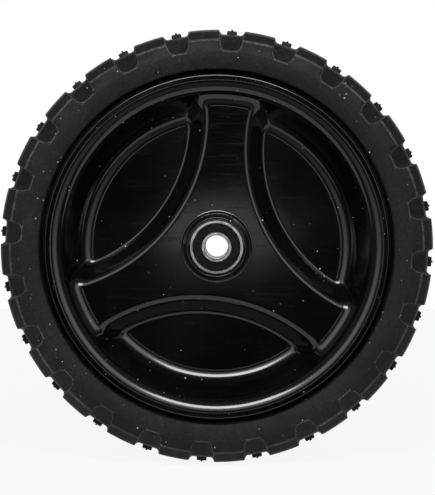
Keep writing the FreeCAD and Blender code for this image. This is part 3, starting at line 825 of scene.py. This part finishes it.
@dataclass
class RimFace:
    """Moulded front of the rim: flange, step, spoke face and lens pockets.

    Its levels are heights in front of the wheel's middle. The arc between a pocket and a spoke is given by
    the distance of its centre from the axle and its radius.
    """

    pockets: int = 3
    inner: float = 19.3
    outer: float = 88.3
    flange: float = 18.0
    spoke: float = 11.2
    floor: float = -2.3
    rest_turn: float = math.radians(25.1)
    arc: Pair = (117.8, 90.2)
    wall_slope: float = math.tan(math.radians(62.3))
    pocket_rim: float = 78.5
    tip_round: float = 9.5
    lip_round: float = 4.5
    foot_round: float = 3.0
    crest: float = 87.0
    crest_round: float = 9.0
    step_degrees: float = 61.6
    step_foot_round: float = 9.5
    columns: int = 220
    rows: int = 115

    @staticmethod
    def eased(run: float, slope: float, radius: float) -> float:
        """Follow a flat that turns into a ramp through a round.

        Args:
            run: Distance past the corner of the flat and the ramp.
            slope: Slope of the ramp.
            radius: Radius of the round.

        Returns:
            The height above the flat.
        """
        bend = math.atan(slope)
        reach = radius * math.tan(bend / 2.0)
        if run <= -reach:
            return 0.0
        if run < reach * math.cos(bend):
            return radius - math.sqrt(radius ** 2 - (run + reach) ** 2)
        return slope * run

    def web(self, reach: float, swing: float) -> float:
        """Work out the height of the spoke face, of a pocket's wall on its spoke side or of its floor.

        Args:
            reach: Distance from the axle.
            swing: Angle from the middle of the nearest pocket.

        Returns:
            The height in millimetres.
        """
        away, radius = self.arc
        inside = radius - math.hypot(reach * math.cos(swing) - away, reach * math.sin(swing))
        near = max(self.tip_round - abs(inside - self.pocket_rim + reach), 0.0) / self.tip_round
        inside -= near * near * self.tip_round / 4.0
        across = (self.spoke - self.floor) / self.wall_slope
        if inside < across / 2.0:
            return self.spoke - self.eased(inside, self.wall_slope, self.lip_round)
        return self.floor + self.eased(across - inside, self.wall_slope, self.foot_round)

    def height(self, reach: float, swing: float) -> float:
        """Work out how far a place of the face stands in front of the wheel's middle.

        Args:
            reach: Distance from the axle.
            swing: Angle from the middle of the nearest pocket.

        Returns:
            The height in millimetres.
        """
        web = self.web(reach, swing)
        steep = math.radians(self.step_degrees)
        rounds = self.crest_round + self.step_foot_round
        drop = self.flange - web
        turn = min(steep, math.acos(max(1.0 - drop / rounds, -1.0)))
        straight = max(drop - rounds * (1.0 - math.cos(steep)), 0.0) / math.tan(steep)
        foot = self.crest - rounds * math.sin(turn) - straight
        if reach <= foot:
            return web
        if reach < foot + self.step_foot_round * math.sin(turn):
            risen = self.step_foot_round - math.sqrt(self.step_foot_round ** 2 - (reach - foot) ** 2)
            return web + risen
        fallen = max(self.crest - reach, 0.0)
        if fallen < self.crest_round * math.sin(steep):
            return self.flange - self.crest_round + math.sqrt(self.crest_round ** 2 - fallen ** 2)
        past = fallen - self.crest_round * math.sin(steep)
        return self.flange - self.crest_round * (1.0 - math.cos(steep)) - past * math.tan(steep)

    def build(self) -> bpy.types.Object:
        """Shape a flat grid into the share of one pocket, and repeat it into the whole face.

        Returns:
            The open face.
        """
        deselect()
        bpy.ops.mesh.primitive_grid_add(x_subdivisions=self.columns, y_subdivisions=self.rows, size=2.0)
        piece = bpy.context.object
        for vertex in piece.data.vertices:
            swing = vertex.co.x * math.pi / self.pockets
            reach = self.inner + (self.outer - self.inner) * (vertex.co.y + 1.0) / 2.0
            turned = self.rest_turn + swing
            height = self.height(reach, swing)
            vertex.co = Vector((reach * math.cos(turned), -height, reach * math.sin(turned))) * MM
        bpy.ops.object.mode_set(mode="EDIT")
        bpy.ops.mesh.select_all(action="SELECT")
        repeat_about_axle(self.pockets)
        bpy.ops.mesh.remove_doubles(threshold=SEAM_WELD)
        bpy.ops.object.mode_set(mode="OBJECT")
        return piece


@dataclass
class Rim:
    """Moulded rim with three lens pockets between its spokes, in millimetres."""

    smooth_degrees: float = 45.0
    hub_end: float = 25.0
    hub_fall: float = 0.075
    collar_bore: float = 14.0
    collar: float = 17.5
    collar_edge: float = 0.35
    collar_foot: float = 1.6
    packed_collar: float = 18.3
    packed_edge: float = 1.4
    packed_foot: float = 2.2
    slack: float = 0.05
    ring_gap: float = 0.2
    ring_slack: float = 0.03
    level_slack: float = 0.01
    ring_reach: float = 0.3
    bead: Pair = (15.08, 0.3)
    bead_place: float = 24.86
    bead_segments: Tuple[int, int] = (120, 14)

    def slim_collar(self, piece: bpy.types.Object) -> None:
        """Give the front hub collar a crisp edge, a tight foot and a slightly coned end.

        Args:
            piece: The welded rim, with its collar as it was packed.
        """
        spoke = RimFace().spoke
        edge_across, edge_tall = self.packed_collar - self.packed_edge, self.hub_end - self.packed_edge
        foot_across, foot_tall = self.packed_collar + self.packed_foot, spoke + self.packed_foot
        for vertex in piece.data.vertices:
            reach = math.hypot(vertex.co.x, vertex.co.z) / MM
            height = -vertex.co.y / MM
            if not self.collar_bore <= reach <= foot_across + 2 * self.slack or height < spoke - self.slack:
                continue
            across, tall = reach, height
            outside = reach > edge_across - self.slack
            near_end = height > edge_tall - self.slack
            if outside and near_end:
                swing = math.atan2(height - edge_tall, reach - edge_across)
                across = self.collar - self.collar_edge * (1.0 - math.cos(swing))
                tall = self.hub_end - self.collar_edge * (1.0 - math.sin(swing))
            elif outside and height < foot_tall + self.slack:
                swing = math.atan2(height - foot_tall, reach - foot_across)
                across = self.collar + self.collar_foot * (1.0 + math.cos(swing))
                tall = spoke + self.collar_foot * (1.0 + math.sin(swing))
            elif outside:
                across = self.collar
            if near_end:
                tall -= (across - self.collar_bore) * self.hub_fall
            vertex.co.x *= across / reach
            vertex.co.z *= across / reach
            vertex.co.y = -tall * MM

    def mould_front(self, piece: bpy.types.Object) -> None:
        """Put the moulded face in place of the welded one, from the hub's foot to the flange's edge.

        Args:
            piece: The welded rim with its slim collar.
        """
        face = RimFace()
        rings = [(face.inner - self.ring_gap, -face.spoke), (face.outer + self.ring_gap, -face.flange)]
        activate(piece)
        bpy.ops.object.mode_set(mode="EDIT")
        bpy.ops.mesh.select_all(action="DESELECT")
        mesh = bmesh.from_edit_mesh(piece.data)

        def on_ring(vertex: bmesh.types.BMVert) -> bool:
            """Tell whether a corner lies on one of the two circles that bound the face.

            Args:
                vertex: The corner.

            Returns:
                True on either circle.
            """
            reach = math.hypot(vertex.co.x, vertex.co.z) / MM
            offsets = [(abs(reach - ring), abs(vertex.co.y / MM - level)) for ring, level in rings]
            return any(max(offset) < self.ring_slack for offset in offsets)

        level = -face.spoke
        waiting = [item for item in mesh.faces if item.normal.y < -FLAT
                   and all(abs(corner.co.y / MM - level) < self.level_slack for corner in item.verts)][:1]
        front = set(waiting)
        while waiting:
            for edge in waiting.pop().edges:
                if on_ring(edge.verts[0]) and on_ring(edge.verts[1]):
                    continue
                for item in edge.link_faces:
                    if item not in front:
                        front.add(item)
                        waiting.append(item)
        for item in front:
            item.select_set(True)
        bmesh.update_edit_mesh(piece.data)
        bpy.ops.mesh.delete(type="FACE")
        bpy.ops.object.mode_set(mode="OBJECT")
        fresh = face.build()
        deselect()
        fresh.select_set(True)
        piece.select_set(True)
        bpy.context.view_layer.objects.active = piece
        bpy.ops.object.join()
        bpy.ops.object.mode_set(mode="EDIT")
        for ring, _ in rings:
            bpy.ops.mesh.select_all(action="DESELECT")
            mesh = bmesh.from_edit_mesh(piece.data)
            for edge in mesh.edges:
                reaches = [math.hypot(corner.co.x, corner.co.z) / MM for corner in edge.verts]
                if edge.is_boundary and max(abs(reach - ring) for reach in reaches) < self.ring_reach:
                    edge.select_set(True)
            bmesh.update_edit_mesh(piece.data)
            bpy.ops.mesh.fill(use_beauty=True)
        bpy.ops.mesh.select_all(action="SELECT")
        bpy.ops.mesh.normals_make_consistent(inside=False)
        bpy.ops.object.mode_set(mode="OBJECT")

    def seat_beads(self, finish: bpy.types.Material) -> List[bpy.types.Object]:
        """Model the moulded bead around a bearing seat once and copy it to the other end.

        Args:
            finish: The rim's finish.

        Returns:
            The two beads.
        """
        major, minor = (part * MM for part in self.bead)
        deselect()
        around, across = self.bead_segments
        bpy.ops.mesh.primitive_torus_add(major_radius=major, minor_radius=minor, major_segments=around,
                                         minor_segments=across, location=(0.0, 0.0, 0.0))
        front = bpy.context.object
        front.name = "hub_seat_bead_front"
        bpy.ops.object.mode_set(mode="EDIT")
        bpy.ops.mesh.select_all(action="SELECT")
        bpy.ops.transform.rotate(value=math.pi / 2, orient_axis="X", center_override=(0.0, 0.0, 0.0))
        bpy.ops.transform.translate(value=(0.0, -self.bead_place * MM, 0.0))
        bpy.ops.object.mode_set(mode="OBJECT")
        bpy.ops.object.shade_smooth()
        bpy.ops.object.duplicate()
        rear = bpy.context.object
        rear.name = "hub_seat_bead_rear"
        bpy.ops.object.mode_set(mode="EDIT")
        bpy.ops.mesh.select_all(action="SELECT")
        bpy.ops.transform.translate(value=(0.0, 2 * self.bead_place * MM, 0.0))
        bpy.ops.object.mode_set(mode="OBJECT")
        for piece in (front, rear):
            piece.data.materials.clear()
            piece.data.materials.append(finish)
            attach(piece, Body.WHEEL.value)
        return [front, rear]

    def build(self, node: bpy.types.Object) -> List[bpy.types.Object]:
        """Weld and polish the rim.

        Args:
            node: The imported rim.

        Returns:
            The finished rim and the beads around its bearing seats.
        """
        piece = merged_copy(node, "rim_moulding")
        self.slim_collar(piece)
        self.mould_front(piece)
        shade(piece, self.smooth_degrees)
        finish = MouldedPlastic().material()
        piece.data.materials.append(finish)
        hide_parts("wheel_rim")
        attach(piece, Body.WHEEL.value)
        return [piece] + self.seat_beads(finish)


@dataclass
class Bearing:
    """One sealed ball bearing at an end of the hub."""

    end: End
    races: bpy.types.Material
    balls: bpy.types.Material
    cage: bpy.types.Material
    seals: bpy.types.Material
    smooth_degrees: float = 30.0

    def build(self, nodes: Dict[str, bpy.types.Object]) -> List[bpy.types.Object]:
        """Weld and dress every piece of the bearing.

        Args:
            nodes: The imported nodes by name.

        Returns:
            The finished pieces.
        """
        carried = Body.FRONT_BALLS if self.end is End.FRONT else Body.REAR_BALLS
        plan = [
            ("outer_race", self.races, Body.WHEEL, "race_steel"),
            ("inner_race", self.races, Body.SLEEVE, "race_steel"),
            ("balls", self.balls, carried, "ball_steel"),
            ("cage_front_half", self.cage, carried, "cage_steel"),
            ("cage_rear_half", self.cage, carried, "cage_steel"),
            ("rivets", self.cage, carried, "cage_steel"),
            ("front_seal", self.seals, Body.WHEEL, "seal_rubber"),
            ("rear_seal", self.seals, Body.WHEEL, "seal_rubber"),
        ]
        pieces = []
        for kind, finish, body, slot in plan:
            name = "%s_bearing_%s" % (self.end.value, kind)
            piece = merged_copy(nodes[name], name + "_dressed")
            shade(piece, self.smooth_degrees)
            piece.data.materials.append(finish)
            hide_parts(name)
            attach(piece, body.value)
            pieces.append(piece)
        return pieces


@dataclass
class Spacer:
    """Plain steel tube between the bearings."""

    smooth_degrees: float = 30.0
    finish: GroundSteel = GroundSteel("spacer_steel", (0.46, 0.46, 0.47), (0.3, 0.45))

    def build(self, node: bpy.types.Object) -> bpy.types.Object:
        """Weld and dress the spacer.

        Args:
            node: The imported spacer.

        Returns:
            The finished spacer.
        """
        piece = merged_copy(node, "spacer_dressed")
        shade(piece, self.smooth_degrees)
        piece.data.materials.append(self.finish.material())
        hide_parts("spacer_tube")
        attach(piece, Body.SLEEVE.value)
        return piece


# Studio


class LampShape(Enum):
    """Outlines of the soft lamps."""

    RECTANGLE = "RECTANGLE"
    ELLIPSE = "ELLIPSE"


@dataclass(frozen=True)
class Softbox:
    """A soft lamp aimed at the middle of the wheel."""

    name: str
    shape: LampShape
    place: Tuple[float, float, float]
    size: Pair
    watts: float
    colour: Colour

    def build(self) -> None:
        """Add the lamp."""
        data = bpy.data.lights.new(self.name, "AREA")
        data.shape = self.shape.value
        data.size, data.size_y = self.size
        data.energy = self.watts
        data.color = self.colour
        lamp = bpy.data.objects.new(self.name, data)
        lamp.location = self.place
        lamp.rotation_euler = (-Vector(self.place)).to_track_quat("-Z", "Y").to_euler()
        bpy.context.scene.collection.objects.link(lamp)


@dataclass
class Studio:
    """White surround, pale floor, soft lamps and the camera, in metres."""

    distance: float = 0.900
    azimuth: float = math.radians(0.3)
    elevation: float = math.radians(1.2)
    long_side: float = 0.2610
    aim: Tuple[float, float, float] = (0.00037, 0.0, -0.00069)
    sensor: float = 36.0
    ring_rise: Pair = (-0.985, -0.86)
    ring_fall: Pair = (-0.79, -0.58)
    side_level: float = 0.07
    ring_strength: float = 2.5
    room_strength: float = 0.012
    low_span: Pair = (-0.55, 0.6)
    low_levels: Pair = (0.10, 1.05)
    behind: float = 0.3
    floor_size: Pair = (3.0, 1.6)
    floor_back: float = 0.62
    floor_tints: Pair = (0.80, 0.84)
    floor_rough: float = 0.9
    floor_glow: float = 0.9
    softboxes: Tuple[Softbox, ...] = (
        Softbox("top_softbox", LampShape.RECTANGLE, (-0.007, -0.32, 0.196), (0.194, 0.116), 1.04,
                (1.0, 0.975, 1.05)),
        Softbox("lens_glow", LampShape.ELLIPSE, (0.0, -0.96, -0.004), (0.138, 0.066), 0.031,
                (1.0, 0.955, 1.05)),
    )

    def surround(self) -> None:
        """Light the room: a bright ring about the camera, dim elsewhere, and white behind the wheel."""
        world = bpy.data.worlds.new("studio_surround")
        bpy.context.scene.world = world
        world.use_nodes = True
        nodes = Graph(world.node_tree)
        background = nodes.tree.nodes["Background"]
        background.inputs["Color"].default_value = (1.0, 1.0, 1.0, 1.0)
        place = nodes.tree.nodes.new("ShaderNodeTexCoord").outputs["Generated"]
        split = nodes.tree.nodes.new("ShaderNodeSeparateXYZ")
        nodes.link(place, split.inputs["Vector"])
        rise = nodes.spread(split.outputs["Y"], self.ring_rise, (0.0, 1.0), soft=True)
        fall = nodes.spread(split.outputs["Y"], self.ring_fall, (1.0, self.side_level), soft=True)
        ring = nodes.math("MULTIPLY", rise, fall)
        ring = nodes.math("MULTIPLY", ring, self.ring_strength)
        ring = nodes.math("ADD", ring, self.room_strength)
        low = nodes.spread(split.outputs["Z"], self.low_span, self.low_levels, soft=True)
        room = nodes.math("MULTIPLY", ring, low)
        light_path = nodes.tree.nodes.new("ShaderNodeLightPath")
        mirrored = nodes.math("MAXIMUM", light_path.outputs["Is Glossy Ray"],
                              light_path.outputs["Is Transmission Ray"])
        behind = nodes.math("GREATER_THAN", split.outputs["Y"], self.behind)
        shown = nodes.math("MAXIMUM", light_path.outputs["Is Camera Ray"],
                           nodes.math("MULTIPLY", mirrored, behind))
        pick = nodes.tree.nodes.new("ShaderNodeMix")
        nodes.link(shown, pick.inputs["Factor"])
        nodes.link(room, pick.inputs["A"])
        pick.inputs["B"].default_value = 1.0
        nodes.link(pick.outputs["Result"], background.inputs["Strength"])

    def floor(self, height: float) -> None:
        """Add the pale floor under the wheel.

        Args:
            height: Level of the floor.
        """
        deselect()
        bpy.ops.mesh.primitive_plane_add(size=1.0, location=(0.0, 0.0, 0.0))
        piece = bpy.context.object
        piece.name = "studio_floor"
        bpy.ops.object.mode_set(mode="EDIT")
        bpy.ops.transform.resize(value=(*self.floor_size, 1.0))
        bpy.ops.transform.translate(value=(0.0, self.floor_back, height))
        bpy.ops.object.mode_set(mode="OBJECT")
        nodes = Nodes("studio_floor_paper")
        nodes.shader.inputs["Roughness"].default_value = self.floor_rough
        grain = nodes.noise(scale=40.0, detail=3.0)
        tints = [(level, level, level) for level in self.floor_tints]
        nodes.link(nodes.blend(grain, *tints), nodes.shader.inputs["Base Color"])
        glow = nodes.tree.nodes.new("ShaderNodeEmission")
        glow.inputs["Strength"].default_value = 1.0
        mix = nodes.tree.nodes.new("ShaderNodeMixShader")
        light_path = nodes.tree.nodes.new("ShaderNodeLightPath")
        rays = light_path.outputs
        seen = nodes.math("MAXIMUM", rays["Is Camera Ray"], rays["Is Glossy Ray"])
        seen = nodes.math("MAXIMUM", seen, rays["Is Transmission Ray"])
        nodes.link(nodes.math("MULTIPLY", seen, self.floor_glow), mix.inputs["Fac"])
        nodes.link(nodes.shader.outputs["BSDF"], mix.inputs[1])
        nodes.link(glow.outputs["Emission"], mix.inputs[2])
        nodes.link(mix.outputs["Shader"], nodes.tree.nodes["Material Output"].inputs["Surface"])
        piece.data.materials.append(nodes.material)
        piece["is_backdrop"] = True

    def lamps(self) -> None:
        """Add the lamps."""
        for softbox in self.softboxes:
            softbox.build()

    def camera(self) -> None:
        """Add the camera, almost straight on to the outer face."""
        data = bpy.data.cameras.new("front_camera")
        data.sensor_fit = "AUTO"
        data.sensor_width = self.sensor
        data.lens = self.sensor * self.distance / self.long_side
        camera = bpy.data.objects.new("front_camera", data)
        level = math.cos(self.elevation)
        across, back = math.sin(self.azimuth) * level, math.cos(self.azimuth) * level
        way = Vector((across, -back, math.sin(self.elevation)))
        camera.location = Vector(self.aim) + way * self.distance
        camera.rotation_euler = (-way).to_track_quat("-Z", "Y").to_euler()
        bpy.context.scene.collection.objects.link(camera)
        bpy.context.scene.camera = camera


def main() -> None:
    """Build the wheel and its studio, in order."""
    logging.basicConfig(level=logging.INFO, format="%(message)s")
    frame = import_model()
    cad_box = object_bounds()
    nodes = frame["nodes"]
    bpy.context.scene.view_settings.view_transform = "Standard"
    studio = Studio()
    studio.camera()
    studio.surround()
    studio.lamps()
    for piece in Rim().build(nodes["wheel_rim"]):
        LOG.info("rim: %s", piece.name)
    for piece in Tyre().build():
        LOG.info("tyre: %s", piece.name)
    races = GroundSteel("race_steel").material()
    balls = GroundSteel("ball_steel", (0.66, 0.66, 0.67), (0.06, 0.12)).material()
    cage = GroundSteel("cage_steel", (0.50, 0.50, 0.50), (0.28, 0.42)).material()
    seals = SealRubber().material()
    for end in End:
        for piece in Bearing(end, races, balls, cage, seals).build(nodes):
            LOG.info("%s bearing: %s", end.value, piece.name)
    LOG.info("spacer: %s", Spacer().build(nodes["spacer_tube"]).name)
    studio.floor(cad_box[0][2])


if __name__ == "__main__":
    main()
